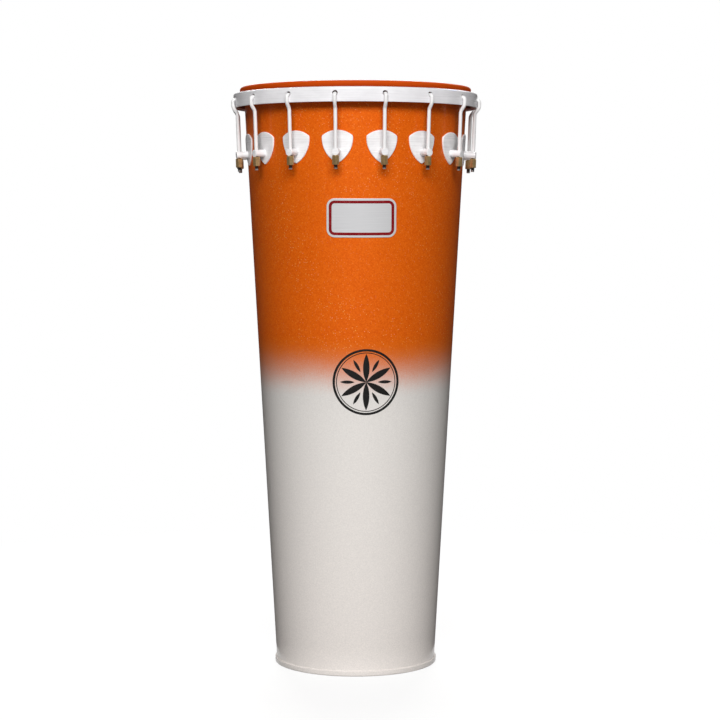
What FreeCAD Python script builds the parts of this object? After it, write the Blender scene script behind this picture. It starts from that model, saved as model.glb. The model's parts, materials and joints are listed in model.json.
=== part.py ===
import FreeCAD, Part
import math
import os
from types import SimpleNamespace

import Sketcher

# A timbal: a tall, tapered hand drum. A film head is drawn over the rolled rim of a sheet-metal
# shell by a flat tension hoop, sixteen hooked rods, and a nut under a post on the shell for each.
# The origin is on the floor, in the middle of the foot. +Z is up, and the front faces -Y.
# Every repeated piece is drawn once over the +X axis and turned about Z to its place.

# Lengths in millimetres
LENGTHS = {
    "shell_height": 899.4,
    "shell_foot_radius": 124.2,
    "shell_top_radius": 174.1,
    "shell_wall": 1.6,
    "rim_curl_radius": 3.5,
    "rim_curl_gap": 0.35,
    "foot_hem_radius": 2.2,
    "foot_hem_height": 8.0,
    "foot_hem_corner": 1.2,
    "foot_flat_depth": 0.3,
    "film_thickness": 0.4,
    "film_seat_gap": 0.2,
    "film_skirt": 24.2,
    "collar_height": 9.8,
    "flesh_hoop_width": 4.2,
    "flesh_hoop_height": 16.6,
    "flesh_hoop_corner": 1.0,
    "flesh_hoop_gap": 0.05,
    "tension_hoop_height": 22.2,
    "tension_hoop_wall": 3.0,
    "tension_hoop_room": 2.75,
    "tension_hoop_corner": 3.0,
    "tension_hoop_edge": 0.6,
    "flange_thickness": 3.0,
    "flange_gap": 1.3,
    "hook_hole_radius": 3.9,
    "hook_hole_drop": 9.6,
    "hook_tip_gap": 0.4,
    "hook_seat_gap": 0.1,
    "hook_face_gap": 1.0,
    "jog_rise": 3.3,
    "rod_radius": 2.75,
    "jog_radius": 10.0,
    "thread_radius": 2.95,
    "thread_pitch": 1.0,
    "thread_depth": 0.5,
    "thread_clearance": 0.05,
    "thread_tail": 6.4,
    "nut_width": 10.0,
    "nut_length": 13.6,
    "nut_chamfer": 0.5,
    "nut_seat_gap": 0.15,
    "lug_drop": 103.5,
    "rod_standoff": 16.1,
    "post_radius": 5.5,
    "post_length": 18.2,
    "post_chamfer": 0.6,
    "post_thread_depth": 9.0,
    "post_seat_gap": 0.05,
    "rod_hole_clearance": 0.35,
    "plate_thickness": 2.0,
    "plate_seat_gap": 0.1,
    "plate_top_rise": 31.7,
    "plate_shoulder_rise": 23.0,
    "plate_half_width": 23.4,
    "plate_tip_drop": 17.4,
    "plate_side_bulge": 7.0,
    "plate_corner": 4.0,
    "plate_edge": 1.0,
    "screw_radius": 2.9,
    "screw_reach": 7.6,
    "screw_hole_clearance": 0.35,
    "screw_head_radius": 5.8,
    "screw_head_height": 3.4,
    "screw_head_round": 1.4,
    "screw_slot_width": 1.5,
    "screw_slot_depth": 1.5,
    "washer_radius": 7.0,
    "washer_thickness": 1.2,
    "washer_seat_gap": 0.05,
    "nameplate_half_width": 52.0,
    "nameplate_half_height": 29.0,
    "nameplate_corner": 12.0,
    "nameplate_thickness": 0.8,
    "nameplate_edge": 0.25,
    "nameplate_seat_gap": 0.2,
    "nameplate_drop": 201.9,
    "cut_overrun": 2.0,
}

# Angles in degrees. The front is at -90, and the first lug is nine degrees to its left.
ANGLES = {
    "first_lug_angle": -99.0,
    "nameplate_angle": -86.6,
    "rod_tilt": 2.1,
    "jog_angle": 38.0,
    "nut_chamfer_angle": 30.0,
    "full_turn": 360.0,
}

COUNTS = {"lug_count": 16, "tail_thread_count": 6, "nut_sides": 6}

# The sine of the largest angle between two edges that count as parallel
ALIGNED = 1e-6


class Size:
    """A number from the sheet, or a sum of such numbers: the text that binds it, and its value."""

    def __init__(self, text, value):
        self.text = text
        self.value = value

    def __add__(self, other):
        return joined(self, "+", other, lambda a, b: a + b)

    def __radd__(self, other):
        return joined(other, "+", self, lambda a, b: a + b)

    def __sub__(self, other):
        return joined(self, "-", other, lambda a, b: a - b)

    def __rsub__(self, other):
        return joined(other, "-", self, lambda a, b: a - b)

    def __mul__(self, other):
        return joined(self, "*", other, lambda a, b: a * b)

    def __rmul__(self, other):
        return joined(other, "*", self, lambda a, b: a * b)

    def __truediv__(self, other):
        return joined(self, "/", other, lambda a, b: a / b)

    def __neg__(self):
        return self * -1


def as_size(number):
    return number if isinstance(number, Size) else Size(str(number), number)


def joined(left, sign, right, work_out):
    left = as_size(left)
    right = as_size(right)
    return Size(f"({left.text} {sign} {right.text})", work_out(left.value, right.value))


def root(number):
    return Size(f"sqrt({number.text})", math.sqrt(number.value))


def arctangent(number):
    return Size(f"atan({number.text})", math.degrees(math.atan(number.value)))


def sine(angle):
    return Size(f"sin({angle.text})", math.sin(math.radians(angle.value)))


def cosine(angle):
    return Size(f"cos({angle.text})", math.cos(math.radians(angle.value)))


def tangent(angle):
    return Size(f"tan({angle.text})", math.tan(math.radians(angle.value)))


def make_sheet(document):
    """Writes every driving number to the sheet, and returns them by name."""
    sheet = document.addObject("Spreadsheet::Sheet", "Sizes")
    numbers = {**LENGTHS, **ANGLES, **COUNTS}
    for row, (name, value) in enumerate(numbers.items(), 1):
        sheet.set(f"A{row}", name)
        sheet.set(f"B{row}", str(value))
        sheet.setAlias(f"B{row}", name)
    document.recompute()
    return SimpleNamespace(**{name: Size(f"Sizes.{name}", value) for name, value in numbers.items()})


def origin_part(body, role):
    return next(feature for feature in body.Origin.OriginFeatures if feature.Role == role)


def new_body(document, name):
    body = document.addObject("PartDesign::Body", name)
    body.Label = name
    return body


def new_sketch(body, name, plane, at=(0, 0, 0), turn_axis=(0, 0, 1), turn=0):
    """A sketch on one of the body's own planes, shifted and turned in that plane's own axes."""
    sketch = body.newObject("Sketcher::SketchObject", name)
    sketch.AttachmentSupport = (origin_part(body, plane), "")
    sketch.MapMode = "FlatFace"
    place = [as_size(number) for number in at]
    turn = as_size(turn)
    rotation = FreeCAD.Rotation(FreeCAD.Vector(*turn_axis), turn.value)
    sketch.AttachmentOffset = FreeCAD.Placement(FreeCAD.Vector(*[p.value for p in place]), rotation)
    for letter, number in zip("xyz", place, strict=True):
        sketch.setExpression(f"AttachmentOffset.Base.{letter}", number.text)
    sketch.setExpression("AttachmentOffset.Rotation.Angle", turn.text)
    return sketch


def vector(point):
    return FreeCAD.Vector(as_size(point[0]).value, as_size(point[1]).value, 0)


def pin(sketch, edge, end, point):
    """Holds one end of an edge at a point that is worked out from the sheet."""
    for kind, number in zip(("DistanceX", "DistanceY"), point, strict=True):
        number = as_size(number)
        index = sketch.addConstraint(Sketcher.Constraint(kind, -1, 1, edge, end, number.value))
        sketch.setExpression(f"Constraints[{index}]", number.text)


def draw(sketch, start, steps, closed=True):
    """Draws from point to point. A step is an end point, or an end point, a centre and a radius."""
    ends = []
    here = start
    for step in steps:
        there = step[0] if len(step) == 3 else step
        if len(step) == 3:
            centre = vector(step[1])
            middle = (vector(here) - centre).normalize() + (vector(there) - centre).normalize()
            top = centre + middle.normalize() * step[2].value
            edge = sketch.addGeometry(Part.Arc(vector(here), top, vector(there)))
            index = sketch.addConstraint(Sketcher.Constraint("Radius", edge, step[2].value))
            sketch.setExpression(f"Constraints[{index}]", step[2].text)
        else:
            edge = sketch.addGeometry(Part.LineSegment(vector(here), vector(there)))
        first = min((1, 2), key=lambda end: (sketch.getPoint(edge, end) - vector(here)).Length)
        ends.append((edge, first, 3 - first, here))
        here = there
    for (edge, first, _, point), (before, _, last, _) in zip(ends, ends[-1:] + ends[:-1], strict=True):
        pin(sketch, edge, first, point)
        if closed or edge != ends[0][0]:
            sketch.addConstraint(Sketcher.Constraint("Coincident", before, last, edge, first))
    if not closed:
        pin(sketch, ends[-1][0], ends[-1][2], here)


def draw_circle(sketch, centre, radius):
    edge = sketch.addGeometry(Part.Circle(vector(centre), FreeCAD.Vector(0, 0, 1), radius.value))
    pin(sketch, edge, 3, centre)
    index = sketch.addConstraint(Sketcher.Constraint("Radius", edge, radius.value))
    sketch.setExpression(f"Constraints[{index}]", radius.text)


def draw_box(sketch, low, high):
    draw(sketch, low, [(high[0], low[1]), high, (low[0], high[1]), low])


def add_feature(body, kind, name, profile):
    feature = body.newObject(kind, name)
    feature.Profile = profile
    profile.Visibility = False
    return feature


def revolve(body, name, sketch, axis, kind="PartDesign::Revolution"):
    feature = add_feature(body, kind, name, sketch)
    feature.ReferenceAxis = (sketch, [axis])
    feature.setExpression("Angle", "Sizes.full_turn")
    body.Document.recompute()
    return feature


def extrude(body, name, sketch, length, kind="PartDesign::Pad", reverse=False, midplane=False):
    feature = add_feature(body, kind, name, sketch)
    feature.Reversed = reverse
    feature.Midplane = midplane
    feature.setExpression("Length", length.text)
    body.Document.recompute()
    return feature


def repeat_around(body, name, features):
    """Repeats features of the body once for each lug, evenly about Z."""
    pattern = body.newObject("PartDesign::PolarPattern", name)
    pattern.Originals = features
    pattern.Axis = (origin_part(body, "Z_Axis"), [""])
    pattern.setExpression("Angle", "Sizes.full_turn")
    pattern.setExpression("Occurrences", "Sizes.lug_count")
    body.Tip = pattern
    body.Document.recompute()


def turn_about_z(thing, angle):
    thing.Placement = FreeCAD.Placement(
        FreeCAD.Vector(), FreeCAD.Rotation(FreeCAD.Vector(0, 0, 1), angle.value)
    )
    thing.setExpression("Placement.Rotation.Angle", angle.text)


def copy_of(document, master, name, angle):
    """A body that follows the master's shape, turned about Z."""
    body = new_body(document, name)
    base = document.addObject("PartDesign::FeatureBase", f"{name}_base")
    base.BaseFeature = master
    body.Group = [base]
    body.Tip = base
    turn_about_z(body, angle)
    return body


def plan(sizes):
    """Works out the places that several pieces share, from the sheet."""
    here = SimpleNamespace()
    slope = (sizes.shell_top_radius - sizes.shell_foot_radius) / sizes.shell_height
    here.lean = arctangent(slope)
    here.wall_face = lambda height: sizes.shell_foot_radius + slope * height

    # The rolled rim, and the film that is drawn over it
    here.curl_height = sizes.shell_height - sizes.rim_curl_radius
    here.curl_inside = here.wall_face(here.curl_height) - sizes.shell_wall
    here.curl_middle = here.curl_inside + sizes.rim_curl_radius
    here.film_inside = here.curl_middle + sizes.rim_curl_radius + sizes.film_seat_gap
    here.film_outside = here.film_inside + sizes.film_thickness
    here.film_under = sizes.shell_height + sizes.film_seat_gap
    here.film_top = here.film_under + sizes.film_thickness

    # The two hoops round the film
    here.hoop_top = here.film_top - sizes.collar_height
    here.hoop_bottom = here.hoop_top - sizes.tension_hoop_height
    here.flange_under = here.hoop_top - sizes.flange_thickness
    here.flesh_inside = here.film_outside + sizes.flesh_hoop_gap
    here.flesh_outside = here.flesh_inside + sizes.flesh_hoop_width
    here.flesh_top = here.flange_under - sizes.flesh_hoop_gap
    here.flesh_bottom = here.flesh_top - sizes.flesh_hoop_height
    here.band_inside = here.flesh_outside + sizes.tension_hoop_room
    here.band_outside = here.band_inside + sizes.tension_hoop_wall
    here.hole_height = here.hoop_top - sizes.hook_hole_drop
    play = sizes.hook_hole_radius - sizes.rod_radius - sizes.hook_seat_gap
    here.hook_height = here.hole_height - play

    # A lug's seat on the shell's face. Its own axes are out along the shell's normal, and up it.
    here.lug_height = sizes.shell_height - sizes.lug_drop
    here.lug_radius = here.wall_face(here.lug_height)
    here.plate_face = sizes.plate_seat_gap + sizes.plate_thickness
    here.post_base = here.plate_face + sizes.post_seat_gap
    here.post_end = here.post_base + sizes.post_length
    here.rod_radius_at_lug = here.lug_radius + sizes.rod_standoff * cosine(here.lean)
    here.rod_height_at_lug = here.lug_height - sizes.rod_standoff * sine(here.lean)
    here.nut_top = -(sizes.post_radius + sizes.nut_seat_gap)
    here.nut_bottom = here.nut_top - sizes.nut_length
    here.thread_end = here.nut_bottom - sizes.thread_tail
    return here


def make_shell(document, sizes, here):
    """A tapered tube of sheet, curled outward at the rim and folded out and up at the foot."""
    body = new_body(document, "shell")
    wall = sizes.shell_wall
    curl = sizes.rim_curl_radius
    hem = sizes.foot_hem_radius
    hem_height = hem - sizes.foot_flat_depth
    hem_inside = here.wall_face(hem_height) - wall
    hem_middle = (hem_inside + hem, hem_height)
    hem_outside = hem_inside + hem * 2
    hem_low = sizes.foot_hem_height - sizes.foot_hem_corner
    half_flat = root(hem * hem - hem_height * hem_height)
    curl_middle = (here.curl_middle, here.curl_height)
    inner_curl = curl - wall
    # The curl stops where its outer face has come back to within a gap of the wall.
    end_share = (wall + sizes.rim_curl_gap) / curl - 1
    fall_share = root(1 - end_share * end_share)
    curl_end = (here.curl_middle + curl * end_share, here.curl_height - curl * fall_share)
    curl_lip = (here.curl_middle + inner_curl * end_share, here.curl_height - inner_curl * fall_share)
    profile = new_sketch(body, "shell_profile", "XZ_Plane")
    start = (hem_inside, hem_height)
    draw(
        profile,
        start,
        [
            ((hem_middle[0] - half_flat, 0), hem_middle, hem),
            (hem_middle[0] + half_flat, 0),
            ((hem_outside, hem_height), hem_middle, hem),
            (hem_outside, hem_low),
            (
                (hem_outside - sizes.foot_hem_corner, sizes.foot_hem_height),
                (hem_outside - sizes.foot_hem_corner, hem_low),
                sizes.foot_hem_corner,
            ),
            (hem_outside - wall, sizes.foot_hem_height),
            (hem_outside - wall, hem_height),
            ((hem_middle[0], hem_height - (hem - wall)), hem_middle, hem - wall),
            ((hem_inside + wall, hem_height), hem_middle, hem - wall),
            (here.curl_inside + wall, here.curl_height),
            ((here.curl_middle, here.curl_height + inner_curl), curl_middle, inner_curl),
            ((here.curl_middle + inner_curl, here.curl_height), curl_middle, inner_curl),
            (curl_lip, curl_middle, inner_curl),
            curl_end,
            ((here.curl_middle + curl, here.curl_height), curl_middle, curl),
            ((here.curl_middle, sizes.shell_height), curl_middle, curl),
            ((here.curl_inside, here.curl_height), curl_middle, curl),
            start,
        ],
    )
    revolve(body, "shell_sheet", profile, "V_Axis")
    hole = lug_sketch(body, "screw_hole_profile", here)
    reach = wall + sizes.cut_overrun
    draw_box(hole, (-reach, 0), (sizes.cut_overrun, sizes.screw_radius + sizes.screw_hole_clearance))
    cut = revolve(body, "screw_hole", hole, "H_Axis", "PartDesign::Groove")
    repeat_around(body, "screw_holes", [cut])
    turn_about_z(body, sizes.first_lug_angle)
    return body


def lug_sketch(body, name, here):
    """A sketch on the upright plane through a lug: X runs out along the shell's normal."""
    return new_sketch(body, name, "XZ_Plane", (here.lug_radius, here.lug_height, 0), turn=-here.lean)


def rod_sketch(body, name, sizes, here):
    """A sketch on the same plane, with its origin where rod and post cross, and Y up the rod."""
    at = (here.rod_radius_at_lug, here.rod_height_at_lug, 0)
    return new_sketch(body, name, "XZ_Plane", at, turn=-sizes.rod_tilt)


def make_head_film(document, sizes, here):
    """A flat film, formed over the rim and down into the flesh hoop."""
    body = new_body(document, "head_film")
    bend_in = sizes.rim_curl_radius + sizes.film_seat_gap
    bend_out = bend_in + sizes.film_thickness
    middle = (here.curl_middle, here.curl_height)
    skirt_end = here.film_top - sizes.film_skirt
    profile = new_sketch(body, "film_profile", "XZ_Plane")
    start = (0, here.film_under)
    draw(
        profile,
        start,
        [
            (here.curl_middle, here.film_under),
            ((here.film_inside, here.curl_height), middle, bend_in),
            (here.film_inside, skirt_end),
            (here.film_outside, skirt_end),
            (here.film_outside, here.curl_height),
            ((here.curl_middle, here.film_top), middle, bend_out),
            (0, here.film_top),
            start,
        ],
    )
    revolve(body, "film", profile, "V_Axis")
    return body


def make_flesh_hoop(document, sizes, here):
    """The ring that the film is fixed in. Its lower corners are rounded."""
    body = new_body(document, "flesh_hoop")
    corner = sizes.flesh_hoop_corner
    inside, outside = here.flesh_inside, here.flesh_outside
    low = here.flesh_bottom + corner
    profile = new_sketch(body, "flesh_hoop_profile", "XZ_Plane")
    start = (inside, low)
    draw(
        profile,
        start,
        [
            ((inside + corner, here.flesh_bottom), (inside + corner, low), corner),
            (outside - corner, here.flesh_bottom),
            ((outside, low), (outside - corner, low), corner),
            (outside, here.flesh_top),
            (inside, here.flesh_top),
            start,
        ],
    )
    revolve(body, "flesh_hoop_ring", profile, "V_Axis")
    return body


def make_tension_hoop(document, sizes, here):
    """A flat band with a flange turned in at the top, which presses on the flesh hoop."""
    body = new_body(document, "tension_hoop")
    corner, edge = sizes.tension_hoop_corner, sizes.tension_hoop_edge
    inside, outside = here.band_inside, here.band_outside
    lip = here.film_outside + sizes.flange_gap
    low = here.hoop_bottom + edge
    high = here.hoop_top - corner
    profile = new_sketch(body, "hoop_profile", "XZ_Plane")
    start = (inside, low)
    draw(
        profile,
        start,
        [
            ((inside + edge, here.hoop_bottom), (inside + edge, low), edge),
            (outside - edge, here.hoop_bottom),
            ((outside, low), (outside - edge, low), edge),
            (outside, high),
            ((outside - corner, here.hoop_top), (outside - corner, high), corner),
            (lip + edge, here.hoop_top),
            ((lip, here.hoop_top - edge), (lip + edge, here.hoop_top - edge), edge),
            (lip, here.flange_under),
            (inside, here.flange_under),
            start,
        ],
    )
    revolve(body, "hoop_ring", profile, "V_Axis")
    hole = new_sketch(body, "hook_hole_profile", "YZ_Plane", (0, here.hole_height, here.band_inside))
    draw_circle(hole, (0, 0), sizes.hook_hole_radius)
    depth = (sizes.tension_hoop_wall + sizes.cut_overrun) * 2
    cut = extrude(body, "hook_hole", hole, depth, "PartDesign::Pocket", midplane=True)
    repeat_around(body, "hook_holes", [cut])
    turn_about_z(body, sizes.first_lug_angle)
    return body


def rod_route(sizes, here):
    """The rod's middle line, from its tip in the hoop down to where its nut begins."""
    tip = here.flesh_outside + sizes.hook_tip_gap
    bend = sizes.rod_radius + sizes.hook_face_gap
    face = here.band_outside + bend
    jog, turned, tilt = sizes.jog_radius, sizes.jog_angle, sizes.rod_tilt
    top = (face, here.hoop_bottom + sizes.jog_rise)
    first = (top[0] - jog * (1 - cosine(turned)), top[1] - jog * sine(turned))
    # The sloping run is as long as brings the lower bend onto the straight line through the post.
    across = jog * (1 + cosine(tilt) - 2 * cosine(turned))
    down = jog * (2 * sine(turned) - sine(tilt))
    rise = top[1] - down - here.rod_height_at_lug
    missing = face - across - here.rod_radius_at_lug - rise * tangent(tilt)
    slope = missing / (sine(turned) - cosine(turned) * tangent(tilt))
    second = (first[0] - slope * sine(turned), first[1] - slope * cosine(turned))
    middle = (second[0] + jog * cosine(turned), second[1] - jog * sine(turned))
    third = (middle[0] - jog * cosine(tilt), middle[1] + jog * sine(tilt))
    end = (
        here.rod_radius_at_lug + here.nut_top * sine(tilt),
        here.rod_height_at_lug + here.nut_top * cosine(tilt),
    )
    steps = [
        (here.band_outside, here.hook_height),
        ((face, here.hook_height - bend), (here.band_outside, here.hook_height - bend), bend),
        top,
        (first, (top[0] - jog, top[1]), jog),
        second,
        (third, middle, jog),
        end,
    ]
    return (tip, here.hook_height), steps


def make_rod_master(document, sizes, here):
    """A round rod: hooked through the hoop, joggled in under it, then straight to its thread."""
    body = new_body(document, "tension_rod_master")
    start, steps = rod_route(sizes, here)
    path = new_sketch(body, "rod_path", "XZ_Plane")
    draw(path, start, steps, closed=False)
    section = new_sketch(body, "rod_section", "YZ_Plane", (0, start[1], start[0]))
    draw_circle(section, (0, 0), sizes.rod_radius)
    pipe = add_feature(body, "PartDesign::AdditivePipe", "rod_bar", section)
    pipe.Spine = (path, [""])
    document.recompute()
    # The thread is plain where the nut and the post hide it, and has its ridges on the tail.
    thread = rod_sketch(body, "thread_profile", sizes, here)
    crest = sizes.thread_radius
    valley = sizes.thread_radius - sizes.thread_depth
    outline = [(crest, 0), (crest, here.nut_bottom)]
    for ridge in range(COUNTS["tail_thread_count"]):
        level = here.nut_bottom - sizes.thread_pitch * ridge
        outline.append((valley, level - sizes.thread_pitch / 2))
        outline.append((crest, level - sizes.thread_pitch))
    outline += [(valley, here.thread_end), (0, here.thread_end), (0, 0)]
    draw(thread, (0, 0), outline)
    revolve(body, "rod_thread", thread, "V_Axis")
    return body


def make_nut_master(document, sizes, here):
    """A long hexagonal nut on the rod's axis, chamfered at both ends."""
    body = new_body(document, "tuning_nut_master")
    at = (
        here.rod_radius_at_lug + here.nut_top * sine(sizes.rod_tilt),
        0,
        here.rod_height_at_lug + here.nut_top * cosine(sizes.rod_tilt),
    )
    section = new_sketch(body, "nut_section", "XY_Plane", at, (0, 1, 0), sizes.rod_tilt)
    step = sizes.full_turn / sizes.nut_sides
    corner_reach = sizes.nut_width / 2 / cosine(step / 2)
    corners = [
        (corner_reach * cosine(step * side), corner_reach * sine(step * side))
        for side in range(COUNTS["nut_sides"])
    ]
    draw(section, corners[-1], corners)
    draw_circle(section, (0, 0), sizes.thread_radius + sizes.thread_clearance)
    extrude(body, "nut_hexagon", section, sizes.nut_length, reverse=True)
    inner = sizes.nut_width / 2 - sizes.nut_chamfer
    outer = corner_reach + sizes.cut_overrun
    drop = (outer - inner) * tangent(sizes.nut_chamfer_angle)
    for name, level, fall in (("top", here.nut_top, -drop), ("bottom", here.nut_bottom, drop)):
        corner = rod_sketch(body, f"nut_{name}_corner", sizes, here)
        draw(corner, (inner, level), [(outer, level), (outer, level + fall), (inner, level)])
        revolve(body, f"nut_{name}_chamfer", corner, "V_Axis", "PartDesign::Groove")
    return body


def make_posts(document, sizes, here):
    """Round posts that stand on the plates, tapped from behind, with a cross hole for the rod."""
    body = new_body(document, "lug_posts")
    bore = sizes.screw_radius + sizes.thread_clearance
    bottom = here.post_base + sizes.post_thread_depth
    profile = lug_sketch(body, "post_profile", here)
    start = (here.post_base, bore)
    draw(
        profile,
        start,
        [
            (here.post_base, sizes.post_radius),
            (here.post_end - sizes.post_chamfer, sizes.post_radius),
            (here.post_end, sizes.post_radius - sizes.post_chamfer),
            (here.post_end, 0),
            (bottom, 0),
            (bottom, bore),
            start,
        ],
    )
    post = revolve(body, "post", profile, "H_Axis")
    hole = rod_sketch(body, "rod_hole_profile", sizes, here)
    reach = sizes.post_radius + sizes.cut_overrun
    draw_box(hole, (0, -reach), (sizes.thread_radius + sizes.rod_hole_clearance, reach))
    cut = revolve(body, "rod_hole", hole, "V_Axis", "PartDesign::Groove")
    repeat_around(body, "posts", [post, cut])
    turn_about_z(body, sizes.first_lug_angle)
    return body


def washer_face(sizes, here):
    """How far in from the shell's face a flat washer comes to rest in the shell's hollow side."""
    inside = here.lug_radius - sizes.shell_wall
    hollow = inside - root(inside * inside - sizes.washer_radius * sizes.washer_radius)
    return -(sizes.shell_wall + hollow + sizes.washer_seat_gap)


def make_screws(document, sizes, here):
    """Screws from inside the shell, through washer, wall and plate, into the posts."""
    body = new_body(document, "lug_screws")
    seat = washer_face(sizes, here) - sizes.washer_thickness
    end = here.post_base + sizes.screw_reach
    top = seat - sizes.screw_head_height
    rounding = sizes.screw_head_round
    wide = sizes.screw_head_radius
    profile = lug_sketch(body, "screw_profile", here)
    draw(
        profile,
        (end, 0),
        [
            (end, sizes.screw_radius),
            (seat, sizes.screw_radius),
            (seat, wide),
            (top + rounding, wide),
            ((top, wide - rounding), (top + rounding, wide - rounding), rounding),
            (top, 0),
            (end, 0),
        ],
    )
    screw = revolve(body, "screw", profile, "H_Axis")
    slot = lug_sketch(body, "slot_profile", here)
    reach = wide + sizes.cut_overrun
    draw_box(slot, (top - sizes.cut_overrun, -reach), (top + sizes.screw_slot_depth, reach))
    cut = extrude(body, "slot", slot, sizes.screw_slot_width, "PartDesign::Pocket", midplane=True)
    repeat_around(body, "screws", [screw, cut])
    turn_about_z(body, sizes.first_lug_angle)
    return body


def make_washers(document, sizes, here):
    """Flat washers between the screw heads and the shell."""
    body = new_body(document, "lug_washers")
    face = washer_face(sizes, here)
    profile = lug_sketch(body, "washer_profile", here)
    hole = sizes.screw_radius + sizes.screw_hole_clearance
    draw_box(profile, (face - sizes.washer_thickness, hole), (face, sizes.washer_radius))
    washer = revolve(body, "washer", profile, "H_Axis")
    repeat_around(body, "washers", [washer])
    turn_about_z(body, sizes.first_lug_angle)
    return body


def bent_sheet(document, name, here, gap, thickness, low, high):
    """A cone of sheet that lies over the shell between two heights. Its seam is at the back."""
    body = new_body(document, f"{name}_sheet")
    strip = new_sketch(body, f"{name}_strip", "XZ_Plane")
    start = (-(here.wall_face(low) + gap), low)
    draw(
        strip,
        start,
        [
            (-(here.wall_face(low) + gap + thickness), low),
            (-(here.wall_face(high) + gap + thickness), high),
            (-(here.wall_face(high) + gap), high),
            start,
        ],
    )
    revolve(body, f"{name}_cone", strip, "V_Axis")
    return body


def bent_plate(document, name, sheet, block):
    """The part of the sheet that is inside the block, with the rim of its front face rounded."""
    plate = document.addObject("Part::Common", f"{name}_plate")
    plate.Base = sheet
    plate.Tool = block
    document.recompute()
    bent_faces = [face for face in plate.Shape.Faces if isinstance(face.Surface, Part.Cone)]
    front = max(bent_faces, key=lambda face: face.CenterOfMass.x)
    rounding = document.addObject("Part::Fillet", f"{name}_rounding")
    rounding.Base = plate
    rim = front.OuterWire.Edges
    edges = [
        number
        for number, edge in enumerate(plate.Shape.Edges, 1)
        if any(edge.isSame(other) for other in rim)
    ]
    radius = LENGTHS[f"{name}_edge"]
    rounding.Edges = [(number, radius, radius) for number in edges]
    document.recompute()
    return rounding


def round_corners(block, body, name, radius):
    """Rounds the block's straight edges that run through its depth."""
    depth = block.Profile[0].Placement.Rotation.multVec(FreeCAD.Vector(0, 0, 1))
    edges = [
        f"Edge{number}"
        for number, edge in enumerate(block.Shape.Edges, 1)
        if len(edge.Vertexes) == 2 and runs_along(edge, depth)
    ]
    fillet = body.newObject("PartDesign::Fillet", name)
    fillet.Base = (block, edges)
    fillet.setExpression("Radius", radius.text)
    body.Document.recompute()


def runs_along(edge, direction):
    """Whether an edge's two ends lie in one line along the direction."""
    chord = (edge.Vertexes[1].Point - edge.Vertexes[0].Point).normalize()
    return chord.cross(direction).Length < ALIGNED


def make_plate_master(document, sizes, here):
    """A shield-shaped lug plate: three bulging sides, rounded corners, and a hole for the screw."""
    low = here.lug_height - (sizes.plate_tip_drop + sizes.cut_overrun)
    high = here.lug_height + (sizes.plate_top_rise + sizes.cut_overrun)
    gap, thickness = sizes.plate_seat_gap, sizes.plate_thickness
    sheet = bent_sheet(document, "plate", here, gap, thickness, low, high)
    body = new_body(document, "plate_blank")
    at = (0, here.lug_height, here.lug_radius)
    outline = new_sketch(body, "plate_outline", "YZ_Plane", at, (1, 0, 0), here.lean)
    wide = sizes.plate_half_width
    arch = sizes.plate_top_rise - sizes.plate_shoulder_rise
    top_radius = (wide * wide + arch * arch) / (arch * 2)
    drop = sizes.plate_shoulder_rise + sizes.plate_tip_drop
    span = root(wide * wide + drop * drop)
    bulge = sizes.plate_side_bulge
    side_radius = (span * span / 4 + bulge * bulge) / (bulge * 2)
    inward = side_radius - bulge
    middle = (wide / 2, (sizes.plate_shoulder_rise - sizes.plate_tip_drop) / 2)
    centre = (middle[0] - inward * drop / span, middle[1] + inward * wide / span)
    shoulder, tip = (wide, sizes.plate_shoulder_rise), (0, -sizes.plate_tip_drop)
    draw(
        outline,
        tip,
        [
            (shoulder, centre, side_radius),
            ((-wide, shoulder[1]), (0, sizes.plate_top_rise - top_radius), top_radius),
            (tip, (-centre[0], centre[1]), side_radius),
        ],
    )
    draw_circle(outline, (0, 0), sizes.screw_radius + sizes.screw_hole_clearance)
    block = extrude(body, "plate_block", outline, wide * 2, midplane=True)
    round_corners(block, body, "plate_corners", sizes.plate_corner)
    return bent_plate(document, "plate", sheet, body)


def make_nameplate(document, sizes, here):
    """A blank plate with round corners, bent to the front of the shell."""
    height = sizes.shell_height - sizes.nameplate_drop
    tall = sizes.nameplate_half_height
    low = height - (tall + sizes.cut_overrun)
    high = height + (tall + sizes.cut_overrun)
    gap, thickness = sizes.nameplate_seat_gap, sizes.nameplate_thickness
    sheet = bent_sheet(document, "nameplate", here, gap, thickness, low, high)
    body = new_body(document, "nameplate_blank")
    at = (0, height, here.wall_face(height))
    outline = new_sketch(body, "nameplate_outline", "YZ_Plane", at, (1, 0, 0), here.lean)
    wide = sizes.nameplate_half_width
    draw_box(outline, (-wide, -tall), (wide, tall))
    block = extrude(body, "nameplate_block", outline, wide * 2, midplane=True)
    round_corners(block, body, "nameplate_corners", sizes.nameplate_corner)
    plate = bent_plate(document, "nameplate", sheet, body)
    plate.Label = "nameplate"
    turn_about_z(plate, sizes.nameplate_angle)
    return plate


def make_copies(document, sizes, master, name):
    """One piece for each lug, numbered from the front towards the right."""
    step = sizes.full_turn / sizes.lug_count
    return [
        copy_of(document, master, f"{name}_{number + 1:02d}", sizes.first_lug_angle + step * number)
        for number in range(COUNTS["lug_count"])
    ]


def check(document, pieces):
    """Stops the build if any feature failed, or if a piece is empty or not a valid solid."""
    for thing in document.Objects:
        if "Invalid" in thing.State or "Error" in thing.State:
            raise RuntimeError(f"{thing.Name}: {thing.getStatusString()}")
    for piece in pieces:
        shape = piece.Shape
        if shape.isNull() or not shape.isValid() or not shape.Solids:
            raise RuntimeError(f"{piece.Label} is not a valid solid")


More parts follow.
